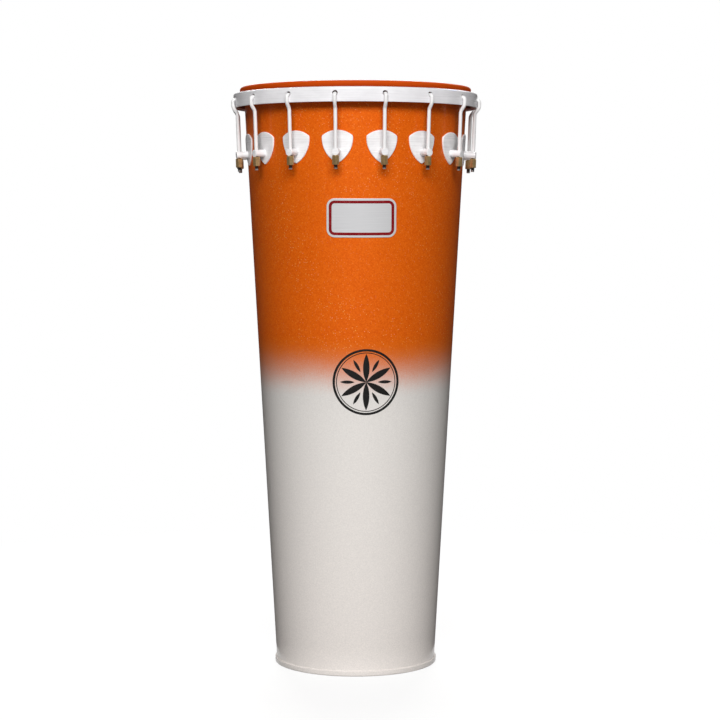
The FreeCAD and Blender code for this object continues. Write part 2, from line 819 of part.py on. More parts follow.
def main():
    document = FreeCAD.newDocument("timbal")
    sizes = make_sheet(document)
    here = plan(sizes)
    pieces = [
        make_shell(document, sizes, here),
        make_head_film(document, sizes, here),
        make_flesh_hoop(document, sizes, here),
        make_tension_hoop(document, sizes, here),
        make_nameplate(document, sizes, here),
        make_posts(document, sizes, here),
        make_screws(document, sizes, here),
        make_washers(document, sizes, here),
    ]
    pieces += make_copies(document, sizes, make_plate_master(document, sizes, here), "lug_plate")
    pieces += make_copies(document, sizes, make_rod_master(document, sizes, here), "tension_rod")
    pieces += make_copies(document, sizes, make_nut_master(document, sizes, here), "tuning_nut")
    document.recompute()
    check(document, pieces)
    os.makedirs("parts", exist_ok=True)
    for piece in pieces:
        piece.Shape.exportStep(f"parts/{piece.Label}.step")
        solids = piece.Shape.Solids
        print(piece.Label, len(solids), "solids,", round(piece.Shape.Volume), "cubic mm")


main()
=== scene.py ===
"""The looks of a timbal drum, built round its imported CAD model.

Shapes are worked out in millimetres, in the same frame as the CAD: Z up, the front towards -Y.
Build.mesh turns them into metres.
"""

import json
import math
from types import SimpleNamespace

import bmesh
import bpy
from mathutils import Matrix, Vector


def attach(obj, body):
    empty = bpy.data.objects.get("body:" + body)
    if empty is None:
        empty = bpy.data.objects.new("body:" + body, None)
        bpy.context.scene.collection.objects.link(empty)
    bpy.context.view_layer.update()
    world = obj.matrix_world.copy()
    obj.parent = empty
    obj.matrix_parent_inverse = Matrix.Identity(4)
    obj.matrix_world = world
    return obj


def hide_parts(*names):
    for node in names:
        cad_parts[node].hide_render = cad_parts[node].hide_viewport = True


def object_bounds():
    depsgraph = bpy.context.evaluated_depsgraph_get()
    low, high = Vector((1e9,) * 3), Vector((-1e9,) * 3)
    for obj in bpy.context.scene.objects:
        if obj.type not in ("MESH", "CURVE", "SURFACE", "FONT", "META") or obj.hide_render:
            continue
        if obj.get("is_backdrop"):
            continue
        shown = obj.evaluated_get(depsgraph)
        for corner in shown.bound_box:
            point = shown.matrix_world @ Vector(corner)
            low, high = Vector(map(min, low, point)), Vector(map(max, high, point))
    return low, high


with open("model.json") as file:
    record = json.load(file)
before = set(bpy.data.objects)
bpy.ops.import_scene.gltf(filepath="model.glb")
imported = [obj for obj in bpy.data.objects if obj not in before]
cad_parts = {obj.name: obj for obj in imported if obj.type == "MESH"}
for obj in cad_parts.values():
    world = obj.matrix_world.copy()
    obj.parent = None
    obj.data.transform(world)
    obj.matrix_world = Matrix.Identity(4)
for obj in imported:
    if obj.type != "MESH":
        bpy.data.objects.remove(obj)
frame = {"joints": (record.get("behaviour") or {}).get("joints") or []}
cad_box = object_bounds()

MM = 0.001

# Sizes in millimetres: the part's own, then those of what is modelled here alone
SIZES = SimpleNamespace(
    shell_height=899.4,
    shell_foot_radius=124.2,
    shell_top_radius=174.1,
    shell_wall=1.6,
    rim_curl_radius=3.5,
    rim_curl_gap=0.35,
    foot_hem_radius=2.2,
    foot_hem_height=8.0,
    foot_hem_corner=1.2,
    foot_flat_depth=0.3,
    film_thickness=0.4,
    film_seat_gap=0.2,
    film_skirt=24.2,
    collar_height=9.8,
    flesh_hoop_width=4.2,
    flesh_hoop_height=16.6,
    flesh_hoop_corner=1.0,
    flesh_hoop_gap=0.05,
    tension_hoop_height=22.2,
    tension_hoop_wall=3.0,
    tension_hoop_room=2.75,
    tension_hoop_corner=3.0,
    tension_hoop_edge=0.6,
    flange_thickness=3.0,
    flange_gap=1.3,
    hook_hole_radius=3.9,
    hook_hole_drop=9.6,
    hook_hole_lip=0.35,
    hook_tip_gap=0.4,
    hook_tip_chamfer=0.4,
    hook_seat_gap=0.1,
    hook_face_gap=1.0,
    jog_rise=3.3,
    rod_radius=2.75,
    jog_radius=10.0,
    thread_radius=2.95,
    thread_pitch=1.0,
    thread_depth=0.5,
    thread_clearance=0.05,
    thread_tail=6.4,
    nut_width=10.0,
    nut_length=13.6,
    nut_chamfer=0.5,
    nut_edge=0.5,
    nut_bore_chamfer=0.35,
    nut_seat_gap=0.15,
    lug_drop=103.5,
    rod_standoff=16.1,
    post_radius=5.5,
    post_length=18.2,
    post_chamfer=0.6,
    post_seat_gap=0.05,
    rod_hole_clearance=0.35,
    plate_thickness=2.0,
    plate_seat_gap=0.1,
    plate_top_rise=31.7,
    plate_shoulder_rise=23.0,
    plate_half_width=23.4,
    plate_tip_drop=17.4,
    plate_side_bulge=7.0,
    plate_corner=4.0,
    plate_edge=1.0,
    screw_radius=2.9,
    screw_reach=7.6,
    screw_hole_clearance=0.35,
    screw_head_radius=5.8,
    screw_head_height=3.4,
    screw_head_round=1.4,
    screw_slot_width=1.5,
    screw_slot_depth=1.5,
    washer_radius=7.0,
    washer_thickness=1.2,
    washer_edge=0.2,
    washer_seat_gap=0.05,
    nameplate_half_width=52.0,
    nameplate_half_height=29.0,
    nameplate_corner=12.0,
    nameplate_thickness=0.8,
    nameplate_edge=0.25,
    nameplate_seat_gap=0.2,
    nameplate_drop=201.9,
    border_inset=3.2,
    border_width=4.2,
    border_rise=0.12,
    border_sink=0.1,
    border_bevel=0.2,
    emblem_radius=50.0,
    emblem_line=3.6,
    emblem_height=452.0,
    emblem_lift=0.03,
    emblem_thickness=0.08,
    foot_hollow_rise=0.84,
    post_ring_rise=4.0,
    post_ring_drop=8.0,
    rod_ring_rise=30.0,
    thread_start_drop=1.0,
    nut_ease_in=0.08,
    nut_ease_down=0.12,
)

# Angles in radians. The front is at -90 degrees.
ROD_TILT = math.radians(2.1)
JOG_ANGLE = math.radians(38.0)
NUT_CHAMFER_ANGLE = math.radians(30.0)
NAMEPLATE_ANGLE = math.radians(-86.6)
EMBLEM_ANGLE = math.radians(-83.7)

# Each nut, and each screw's slot, is turned this much further than the one before it.
NUT_TURN = math.radians(37.0)

# Faces that meet at less than this are shaded as one smooth surface.
SMOOTH_ANGLE = math.radians(32.0)
NUT_SMOOTH_ANGLE = math.radians(25.0)

# How finely the shapes are divided
SHELL_SEGMENTS = 288
HOOP_SEGMENTS = 320
ROD_SEGMENTS = 24
POST_SEGMENTS = 40
SMALL_SEGMENTS = 32
EMBLEM_SEGMENTS = 96
STUDIO_SEGMENTS = 64
WALL_STEPS = 26
NUT_SIDES = 6
NUT_SIDE_STEPS = 14
THREAD_STEPS = 10
PLATE_RINGS = 7
PLATE_EDGE_STEPS = 4
PETAL_STEPS = 28
PETAL_COLUMNS = 5

# The camera that was fitted to the photo: its place in metres, tilt, lens and sensor
CAMERA_PLACE = (0.00706, -3.1476, 0.6809)
CAMERA_TILT = math.radians(3.73)
CAMERA_LENS = 100.3
CAMERA_SENSOR = 36.0


def plan(size):
    """The places that several pieces share, worked out as in the part's source."""
    here = SimpleNamespace()
    slope = (size.shell_top_radius - size.shell_foot_radius) / size.shell_height
    here.slope = slope
    here.lean = math.atan(slope)
    # Unit steps up the wall and out from it, where it faces +X
    here.up_wall = Vector((math.sin(here.lean), 0, math.cos(here.lean)))
    here.off_wall = Vector((math.cos(here.lean), 0, -math.sin(here.lean)))
    here.wall_face = lambda height: size.shell_foot_radius + slope * height

    here.curl_height = size.shell_height - size.rim_curl_radius
    here.curl_inside = here.wall_face(here.curl_height) - size.shell_wall
    here.curl_middle = here.curl_inside + size.rim_curl_radius
    here.film_inside = here.curl_middle + size.rim_curl_radius + size.film_seat_gap
    here.film_outside = here.film_inside + size.film_thickness
    here.film_under = size.shell_height + size.film_seat_gap
    here.film_top = here.film_under + size.film_thickness

    here.hoop_top = here.film_top - size.collar_height
    here.hoop_bottom = here.hoop_top - size.tension_hoop_height
    here.flange_under = here.hoop_top - size.flange_thickness
    here.flesh_inside = here.film_outside + size.flesh_hoop_gap
    here.flesh_outside = here.flesh_inside + size.flesh_hoop_width
    here.flesh_top = here.flange_under - size.flesh_hoop_gap
    here.flesh_bottom = here.flesh_top - size.flesh_hoop_height
    here.band_inside = here.flesh_outside + size.tension_hoop_room
    here.band_outside = here.band_inside + size.tension_hoop_wall
    here.hole_height = here.hoop_top - size.hook_hole_drop
    play = size.hook_hole_radius - size.rod_radius - size.hook_seat_gap
    here.hook_height = here.hole_height - play

    here.lug_height = size.shell_height - size.lug_drop
    here.lug_radius = here.wall_face(here.lug_height)
    here.post_base = size.plate_seat_gap + size.plate_thickness + size.post_seat_gap
    here.post_end = here.post_base + size.post_length
    here.rod_radius_at_lug = here.lug_radius + size.rod_standoff * math.cos(here.lean)
    here.rod_height_at_lug = here.lug_height - size.rod_standoff * math.sin(here.lean)
    here.nut_top = -(size.post_radius + size.nut_seat_gap)
    here.nut_bottom = here.nut_top - size.nut_length
    here.thread_end = here.nut_bottom - size.thread_tail
    return here


HERE = plan(SIZES)


# Shapes

def arc(middle, radius, start, end, steps):
    """Points along an arc from one angle to another, in degrees, both ends included."""
    points = []
    for step in range(steps + 1):
        angle = math.radians(start + (end - start) * step / steps)
        points.append((middle[0] + radius * math.cos(angle), middle[1] + radius * math.sin(angle)))
    return points


def quarter(corner, radius, start, steps):
    """Rounds an outline's corner with the quarter arc that begins at 0, 90, 180 or 270 degrees."""
    right = 1 if start in (0, 270) else -1
    top = 1 if start in (0, 90) else -1
    middle = (corner[0] - right * radius, corner[1] - top * radius)
    return arc(middle, radius, start, start + 90, steps)


def between(first, last, steps):
    """Points along a straight line, without its first end."""
    return [
        tuple(a + (b - a) * step / steps for a, b in zip(first, last))
        for step in range(1, steps + 1)
    ]


def round_angles(segments):
    return [math.tau * step / segments for step in range(segments)]


def polar(radius, angle, height):
    return Vector((radius * math.cos(angle), radius * math.sin(angle), height))


def lug_frame(angle):
    """Axes at a lug's seat on the shell: X along the shell's side, Y up it, Z out along its normal."""
    axes = Matrix((Vector((0, 1, 0)), HERE.up_wall, HERE.off_wall)).transposed().to_4x4()
    seat = Matrix.Translation((HERE.lug_radius, 0, HERE.lug_height))
    return Matrix.Rotation(angle, 4, "Z") @ seat @ axes


def rod_frame(angle):
    """Axes where a rod crosses its post: Z up the rod."""
    seat = Matrix.Translation((HERE.rod_radius_at_lug, 0, HERE.rod_height_at_lug))
    return Matrix.Rotation(angle, 4, "Z") @ seat @ Matrix.Rotation(ROD_TILT, 4, "Y")


def add(name, data):
    """A new object in the scene."""
    thing = bpy.data.objects.new(name, data)
    bpy.context.scene.collection.objects.link(thing)
    return thing


def soften(mesh, angle):
    mesh.shade_smooth()
    mesh.set_sharp_from_angle(angle=angle)


class Build:
    """Collects the points and faces of one piece."""

    def __init__(self):
        self.points, self.faces, self.looks = [], [], []

    def loop(self, points):
        first = len(self.points)
        self.points += points
        return list(range(first, len(self.points)))

    def face(self, corners, look=0):
        self.faces.append(corners)
        self.looks.append(look)

    def bridge(self, one, two, look):
        """Faces between two closed loops. A loop of one point closes the other one off."""
        count = max(len(one), len(two))
        for near in range(count):
            after = (near + 1) % count
            if len(one) == 1:
                self.face((one[0], two[after], two[near]), look)
            elif len(two) == 1:
                self.face((one[near], one[after], two[0]), look)
            else:
                self.face((one[near], one[after], two[after], two[near]), look)

    def bridge_all(self, loops, closed=False, second_from=math.inf):
        """Faces from each loop to the next one, and from the last to the first where they close.

        The rows of faces from a given one on take the piece's second look.
        """
        following = loops[1:] + loops[:1] if closed else loops[1:]
        for row, (one, two) in enumerate(zip(loops, following)):
            self.bridge(one, two, int(row >= second_from))

    def mesh(self, name, looks=()):
        """The piece's mesh in metres, with its faces turned outward."""
        mesh = bpy.data.meshes.new(name)
        mesh.from_pydata([point * MM for point in self.points], [], self.faces)
        for look in looks:
            mesh.materials.append(look)
        mesh.polygons.foreach_set("material_index", self.looks)
        shape = bmesh.new()
        shape.from_mesh(mesh)
        bmesh.ops.recalc_face_normals(shape, faces=shape.faces)
        shape.to_mesh(mesh)
        shape.free()
        return mesh

    def piece(self, name, body, slot, looks, replaced=(), smooth=SMOOTH_ANGLE):
        piece = add(name, self.mesh(name, looks))
        soften(piece.data, smooth)
        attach(piece, body)
        if replaced:
            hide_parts(*replaced)
        return piece


def lathed(outline, segments, places=(Matrix.Identity(4),), closed=False, second_from=math.inf):
    """An outline of (radius, height) points, turned about the Z of each place."""
    build = Build()
    for place in places:
        loops = []
        for radius, height in outline:
            around = round_angles(segments) if radius else [0.0]
            loops.append(build.loop([place @ polar(radius, angle, height) for angle in around]))
        build.bridge_all(loops, closed, second_from)
    return build


def cut_away(piece, cutter):
    """Takes a closed shape out of a piece."""
    tool = add("cutter", cutter.mesh("cutter"))
    modifier = piece.modifiers.new("cut", "BOOLEAN")
    modifier.operation = "DIFFERENCE"
    modifier.solver = "EXACT"
    modifier.object = tool
    bpy.context.view_layer.update()
    done = piece.evaluated_get(bpy.context.evaluated_depsgraph_get())
    result = bpy.data.meshes.new_from_object(done)
    piece.modifiers.clear()
    result.name = piece.name
    piece.data = result
    soften(result, SMOOTH_ANGLE)
    used = tool.data
    bpy.data.objects.remove(tool)
    bpy.data.meshes.remove(used)


# Materials

class Nodes:
    """A node tree, with short ways to fill it."""

    def __init__(self, tree):
        self.tree = tree

    def node(self, kind, inputs=None, **settings):
        node = self.tree.nodes.new(kind)
        for name, value in settings.items():
            setattr(node, name, value)
        for socket, value in (inputs or {}).items():
            self.feed(node.inputs[socket], value)
        return node

    def feed(self, socket, value):
        """Links a socket to another, or sets it. A colour is given as red, green and blue."""
        if isinstance(value, bpy.types.NodeSocket):
            self.tree.links.new(value, socket)
        else:
            socket.default_value = (*value, 1.0) if socket.type == "RGBA" else value

    def math(self, operation, first, second):
        return self.node("ShaderNodeMath", {0: first, 1: second}, operation=operation).outputs[0]

    def plus(self, first, second):
        return self.math("ADD", first, second)

    def times(self, first, second):
        return self.math("MULTIPLY", first, second)

    def blend(self, share, first, second):
        """A mix of two shader nodes."""
        return self.node("ShaderNodeMixShader", {0: share, 1: first.outputs[0], 2: second.outputs[0]})

    def shows(self):
        """1 for the rays to which the studio is white: the camera's own, reflected and refracted ones."""
        path = self.node("ShaderNodeLightPath").outputs
        sent_on = self.math("MAXIMUM", path["Is Glossy Ray"], path["Is Transmission Ray"])
        return self.math("MAXIMUM", path["Is Camera Ray"], sent_on)


class Look(Nodes):
    """A material. What varies over the surface comes from nodes, the rest from the shader's sockets."""

    def __init__(self, name, constants):
        self.material = bpy.data.materials.new(name)
        self.material.use_nodes = True
        super().__init__(self.material.node_tree)
        self.shader = self.tree.nodes["Principled BSDF"]
        for socket, value in constants.items():
            self.shader.inputs[socket].default_value = value
        self.place = self.node("ShaderNodeTexCoord").outputs["Object"]

    def set(self, **values):
        for name, value in values.items():
            self.feed(self.shader.inputs[name.replace("_", " ")], value)

    def height(self):
        return self.node("ShaderNodeSeparateXYZ", {0: self.place}).outputs[2]

    def away(self):
        """The distance from the middle line, in metres."""
        kind = "ShaderNodeVectorMath"
        flat = self.node(kind, {0: self.place, 1: (1.0, 1.0, 0.0)}, operation="MULTIPLY")
        return self.node(kind, {0: flat.outputs[0]}, operation="LENGTH").outputs["Value"]

    def noise(self, stretch, detail, roughness=0.5):
        """Noise between 0 and 1. The stretch is in waves for each metre, along each axis."""
        mapping = self.node("ShaderNodeMapping", {"Vector": self.place, "Scale": stretch})
        inputs = {
            "Vector": mapping.outputs[0],
            "Scale": 1.0,
            "Detail": detail,
            "Roughness": roughness,
        }
        return self.node("ShaderNodeTexNoise", inputs).outputs[0]

    def cells(self, count):
        """Small cells, so many for each metre: the distance to a cell's middle and two random tones."""
        cells = self.node("ShaderNodeTexVoronoi", {"Vector": self.place, "Scale": count})
        tones = self.node("ShaderNodeSeparateColor", {"Color": cells.outputs["Color"]}).outputs
        return cells.outputs["Distance"], tones[0], tones[1]

    def specks(self, count, size, share):
        """1 in small round specks: so many cells for each metre, a size and the share of cells used."""
        distance, chosen, tone = self.cells(count)
        near = self.fit(distance, size, size / 2, 0.0, 1.0)
        return self.times(near, self.math("LESS_THAN", chosen, share)), tone

    def fit(self, value, low, high, to_low, to_high, kind="LINEAR"):
        """Brings what lies between low and high to another range, and keeps the rest at its ends."""
        inputs = {0: value, 1: low, 2: high, 3: to_low, 4: to_high}
        return self.node("ShaderNodeMapRange", inputs, interpolation_type=kind).outputs[0]

    def spread(self, noise, to_low, to_high):
        """Brings a noise, most of which lies between 0.3 and 0.7, to another range."""
        return self.fit(noise, 0.3, 0.7, to_low, to_high)

    def mix(self, share, first, second):
        inputs = {0: share, 6: first, 7: second}
        return self.node("ShaderNodeMix", inputs, data_type="RGBA").outputs[2]

    def vary(self, noise, colors, roughness, share=None):
        """Colour and roughness, each between two ends by a noise, or the colour by a share of its own."""
        self.set(Base_Color=self.mix(share or noise, *colors))
        self.set(Roughness=self.spread(noise, *roughness))

    def bump(self, height, depth):
        """A bump as deep as the height of 1 says, in metres."""
        self.set(Normal=self.node("ShaderNodeBump", {"Height": height, "Distance": depth}).outputs[0])


def orange_coat(look, grains):
    """Clouded orange with round flakes of glitter. It thins out towards the white."""
    height = look.height()
    cloud = look.noise((14, 14, 10), 4, 0.6)
    orange = look.mix(cloud, (0.735, 0.093, 0.0006), (0.775, 0.109, 0.0014))
    orange = look.mix(look.times(grains, 0.7), orange, (0.91, 0.185, 0.008))
    patch = look.fit(look.noise((16, 16, 8), 2), 0.42, 0.68, 0.3, 1.0)
    flakes, tone = look.specks(430, 0.34, 0.28)
    flake = look.mix(tone, (0.91, 0.42, 0.26), (0.91, 0.58, 0.11))
    orange = look.mix(look.times(look.times(flakes, patch), 0.86), orange, flake)
    # Painted shade: the orange is made a little darker towards the bottom.
    orange = look.mix(look.fit(height, 0.45, 0.82, 0.04, 0.0), orange, (0.0, 0.0, 0.0))
    # Painted shadow of the hoop lies on the wall, up from just below the hoop's lower edge.
    edge = HERE.hoop_bottom * MM
    grime_and_shade = look.fit(height, edge - 0.0075, edge - 0.0035, 0.0, 0.25, "SMOOTHSTEP")
    orange = look.mix(grime_and_shade, orange, (0.24, 0.002, 0.001))
    # Where the orange thins out, the white under it shows through it first as a lighter orange.
    thin = look.fit(height, 0.480, 0.522, 0.8, 0.0)
    return look.mix(thin, orange, (0.755, 0.158, 0.003))


def white_coat(look, grains):
    """White with fine blotches and dust, and painted light that makes it lighter and warmer towards the
    foot.
    """
    # Painted light: the white is lighter and warmer towards the foot.
    foot_light = look.fit(look.height(), 0.0, 0.42, 1.0, 0.0)
    white = look.mix(foot_light, (0.772, 0.745, 0.711), (0.858, 0.797, 0.752))
    blotch = look.fit(look.noise((620, 620, 540), 2, 0.7), 0.3, 0.8, 0.0, 0.5)
    white = look.mix(blotch, white, (0.62, 0.59, 0.565))
    white = look.mix(look.times(grains, 0.22), white, (0.55, 0.52, 0.50))
    dust = look.specks(310, 0.16, 0.12)[0]
    return look.mix(look.times(dust, 0.25), white, (0.55, 0.50, 0.46))


def shell_paint():
    """Orange over white, sprayed, with a faded line between. Glitter lies in the orange."""
    look = Look("shell_paint", {
        "IOR": 1.5, "Specular IOR Level": 0.12, "Coat Weight": 0.32, "Coat Roughness": 0.06
    })
    height = look.height()
    drift = look.spread(look.noise((9, 9, 9), 3), -0.004, 0.004)
    mist = look.spread(look.noise((1100, 1100, 1100), 1), -0.007, 0.007)
    level = look.plus(look.plus(height, drift), mist)
    white_share = look.math("POWER", look.fit(level, 0.427, 0.523, 1.0, 0.0, "SMOOTHSTEP"), 2.0)
    orange_share = look.math("SUBTRACT", 1.0, white_share)
    grains = look.cells(700)[1]
    paint = look.mix(orange_share, white_coat(look, grains), orange_coat(look, grains))
    # The overspray on both sides of the line is duller.
    below = look.fit(height, 0.385, 0.45, 0.0, 1.0, "SMOOTHSTEP")
    above = look.fit(height, 0.49, 0.585, 1.0, 0.0, "SMOOTHSTEP")
    dull = look.times(look.times(below, above), 0.04)
    look.set(Base_Color=look.mix(dull, paint, (0.0, 0.0, 0.0)))
    look.set(Metallic=look.times(orange_share, 0.19))
    scuff = look.spread(look.noise((60, 60, 35), 4, 0.6), 0.28, 0.36)
    rough = look.plus(scuff, look.times(orange_share, 0.15))
    look.set(Roughness=look.plus(rough, dull))
    peel = look.noise((700, 700, 700), 2)
    wave = look.noise((25, 25, 18), 2)
    look.bump(look.plus(look.times(wave, 6.0), peel), 0.00001)
    return look.material


def white_paint(name, dark, light):
    """White gloss over steel whose brush lines run level, round the drum."""
    look = Look(name, {"IOR": 1.5, "Specular IOR Level": 0.35})
    lines = look.noise((12, 12, 850), 5, 0.72)
    cloud = look.noise((45, 45, 70), 3)
    tone = look.plus(look.times(lines, 0.6), look.times(cloud, 0.4))
    look.vary(lines, (dark, light), (0.24, 0.36), look.fit(tone, 0.38, 0.62, 0.0, 1.0))
    look.bump(lines, 0.00004)
    return look.material


def rod_paint():
    """The same white on the rods, a little thicker and smoother."""
    look = Look("rod_paint", {"IOR": 1.5, "Specular IOR Level": 0.35})
    cloud = look.noise((160, 160, 60), 3)
    look.vary(cloud, ((0.84, 0.83, 0.83), (0.91, 0.905, 0.905)), (0.22, 0.32))
    look.bump(look.noise((600, 600, 300), 2), 0.00003)
    return look.material


def thread_steel():
    """Dark, oiled steel of the bare threads, lighter at the cut end, partly as bare steel and partly as a
    painted highlight.
    """
    look = Look("thread_steel", {"Metallic": 0.85})
    grime_and_shade = look.noise((900, 900, 900), 3, 0.6)
    oiled = look.mix(grime_and_shade, (0.030, 0.022, 0.018), (0.12, 0.10, 0.09))
    bright = look.mix(grime_and_shade, (0.42, 0.42, 0.42), (0.62, 0.62, 0.62))
    # The cut end is lighter: partly bare steel, partly a painted highlight.
    end = (HERE.rod_height_at_lug + HERE.thread_end) * MM
    tip = look.fit(look.height(), end + 0.0012, end + 0.0030, 1.0, 0.0, "SMOOTHSTEP")
    look.vary(grime_and_shade, (oiled, bright), (0.28, 0.5), tip)
    look.bump(grime_and_shade, 0.00003)
    return look.material


def brass():
    """Aged brass, browner in patches."""
    look = Look("brass", {"Metallic": 0.8})
    patina = look.noise((380, 380, 120), 4, 0.65)
    colors = (0.33, 0.20, 0.080), (0.90, 0.63, 0.30)
    look.vary(patina, colors, (0.48, 0.30), look.spread(patina, 0.0, 1.0))
    look.bump(look.noise((500, 500, 1500), 3), 0.00003)
    return look.material


def plated_steel():
    """Zinc-grey steel of the screws and washers."""
    look = Look("plated_steel", {"Metallic": 1.0})
    cloud = look.noise((200, 200, 200), 3)
    look.vary(cloud, ((0.42, 0.42, 0.41), (0.60, 0.60, 0.59)), (0.25, 0.42))
    look.bump(look.noise((900, 900, 900), 2), 0.00002)
    return look.material


def bare_aluminium():
    """The shell's inside: sheet with the marks of the rollers going round, and dulled in patches."""
    look = Look("bare_aluminium", {"Metallic": 1.0})
    lines = look.noise((6, 6, 700), 4, 0.7)
    cloud = look.noise((18, 18, 12), 4, 0.6)
    tone = look.plus(look.times(lines, 0.5), look.times(cloud, 0.5))
    colors = (0.40, 0.40, 0.39), (0.62, 0.62, 0.61)
    look.vary(cloud, colors, (0.5, 0.36), look.spread(tone, 0.0, 1.0))
    look.bump(lines, 0.00004)
    return look.material


def brushed_aluminium():
    """The nameplate: brushed along its length."""
    look = Look("brushed_aluminium", {"Metallic": 0.35})
    lines = look.noise((12, 12, 2600), 5, 0.75)
    colors = (0.72, 0.72, 0.735), (0.86, 0.86, 0.87)
    look.vary(lines, colors, (0.42, 0.30), look.spread(lines, 0.0, 1.0))
    look.bump(lines, 0.00003)
    return look.material


def enamel():
    """Dark red enamel of the nameplate's border."""
    look = Look("enamel", {"IOR": 1.5, "Specular IOR Level": 0.4})
    cloud = look.noise((120, 120, 120), 3)
    look.vary(cloud, ((0.17, 0.006, 0.010), (0.27, 0.012, 0.016)), (0.18, 0.30))
    return look.material


def printed_black():
    look = Look("printed_black", {"IOR": 1.5, "Specular IOR Level": 0.3})
    cloud = look.noise((300, 300, 300), 3)
    look.vary(cloud, ((0.006, 0.006, 0.006), (0.018, 0.017, 0.016)), (0.32, 0.45))
    return look.material


def head_film():
    """Orange plastic film, with a painted highlight on the collar, painted shade in the corner over the
    hoop, and dulled where hands strike it.
    """
    look = Look("head_film", {"IOR": 1.5, "Specular IOR Level": 0.02})
    cloud = look.noise((20, 20, 60), 3)
    film = look.mix(cloud, (0.47, 0.048, 0.003), (0.57, 0.072, 0.005))
    struck = look.fit(look.away(), 0.04, 0.165, 1.0, 0.0, "SMOOTHSTEP")
    smear = look.times(struck, look.noise((55, 38, 50), 5, 0.7))
    film = look.mix(look.times(smear, 0.35), film, (0.80, 0.32, 0.16))
    # Painted shade darkens the corner over the hoop, and a painted highlight makes the film paler up the
    # collar towards the rim.
    height = look.height()
    corner, rim = HERE.hoop_top * MM, HERE.film_top * MM
    shade_end = corner + 0.0042
    grime_and_shade = look.fit(height, corner, shade_end, 0.42, 0.0)
    film = look.mix(grime_and_shade, film, (0.04, 0.008, 0.004))
    # Painted highlight: paler towards the rim.
    collar_highlight = look.fit(height, shade_end, rim - 0.0008, 0.0, 0.30)
    look.set(Base_Color=look.mix(collar_highlight, film, (0.86, 0.115, 0.008)))
    look.set(Roughness=look.plus(look.times(smear, 0.35), 0.40))
    look.bump(look.noise((240, 240, 240), 3), 0.00003)
    return look.material


def flesh_hoop_paint():
    """Orange paint of the hoop inside the tension hoop, made dark as painted shade."""
    look = Look("flesh_hoop_paint", {"IOR": 1.5, "Specular IOR Level": 0.3})
    cloud = look.noise((60, 60, 200), 3)
    # Painted shade: the orange is darkened, as the hoop sits in the tension hoop's shadow.
    look.vary(cloud, ((0.16, 0.028, 0.006), (0.30, 0.060, 0.012)), (0.35, 0.5))
    look.bump(cloud, 0.00005)
    return look.material


# Pieces

def shell_outline(size, here):
    """The shell's sheet in section, from the inside of the foot round to the inside of the rim."""
    hem, wall = size.foot_hem_radius, size.shell_wall
    hem_height = hem - size.foot_flat_depth
    hem_inside = here.wall_face(hem_height) - wall
    middle = (hem_inside + hem, hem_height)
    outside = hem_inside + hem * 2
    flat = math.degrees(math.acos(hem_height / hem))
    corner = size.foot_hem_corner
    outer = arc(middle, hem, 180, 270 - flat, 5) + arc(middle, hem, 270 + flat, 360, 5)
    outer += between((outside, hem_height), (outside, size.foot_hem_height - corner), 3)[:-1]
    outer += quarter((outside, size.foot_hem_height), corner, 0, 6)
    # Paint fills the fold's gap, and runs up the wall in a small hollow.
    rise = size.foot_hollow_rise
    hollow = outside - corner - here.wall_face(size.foot_hem_height + rise)
    outer += [
        (outside - corner - hollow * share, size.foot_hem_height + rise * share ** 4)
        for share in (0.3, 0.55, 0.75, 0.9, 1.0)
    ]
    outer += between(outer[-1], (here.curl_inside + wall, here.curl_height), WALL_STEPS)
    curl_middle, curl = (here.curl_middle, here.curl_height), size.rim_curl_radius
    end = -math.degrees(math.acos((wall + size.rim_curl_gap) / curl - 1))
    outer += arc(curl_middle, curl - wall, 180, end, 22)[1:]
    outer += arc(curl_middle, curl, end, 180, 24)
    inner = between((here.curl_inside, here.curl_height), (hem_inside, hem_height), WALL_STEPS)[:-1]
    return outer, inner


def make_shell(looks):
    outer, inner = shell_outline(SIZES, HERE)
    shell = lathed(outer + inner, SHELL_SEGMENTS, closed=True, second_from=len(outer) - 1)
    shell.piece("drum_shell", "shell", "shell_paint", [looks.shell, looks.inside], ["shell"])


def make_head_film(looks):
    here, size = HERE, SIZES
    middle = (here.curl_middle, here.curl_height)
    bend_in = size.rim_curl_radius + size.film_seat_gap
    skirt_end = here.film_top - size.film_skirt
    outline = [(0, here.film_under)]
    outline += between((0, here.film_under), (here.curl_middle, here.film_under), 12)[:-1]
    outline += arc(middle, bend_in, 90, 0, 10)
    outline += [(here.film_inside, skirt_end), (here.film_outside, skirt_end)]
    outline += arc(middle, bend_in + size.film_thickness, 0, 90, 10)
    outline += between((here.curl_middle, here.film_top), (0, here.film_top), 12)
    film = lathed(outline, SHELL_SEGMENTS)
    film.piece("drum_head", "head", "head_film", [looks.film], ["head_film"])


def make_flesh_hoop(looks):
    here, corner = HERE, SIZES.flesh_hoop_corner
    outline = quarter((here.flesh_inside, here.flesh_bottom), corner, 180, 5)
    outline += quarter((here.flesh_outside, here.flesh_bottom), corner, 270, 5)
    outline += quarter((here.flesh_outside, here.flesh_top), corner / 2, 0, 4)
    outline += [(here.flesh_inside, here.flesh_top)]
    hoop = lathed(outline, SHELL_SEGMENTS, closed=True)
    hoop.piece("inner_hoop", "head", "flesh_hoop", [looks.flesh], ["flesh_hoop"])


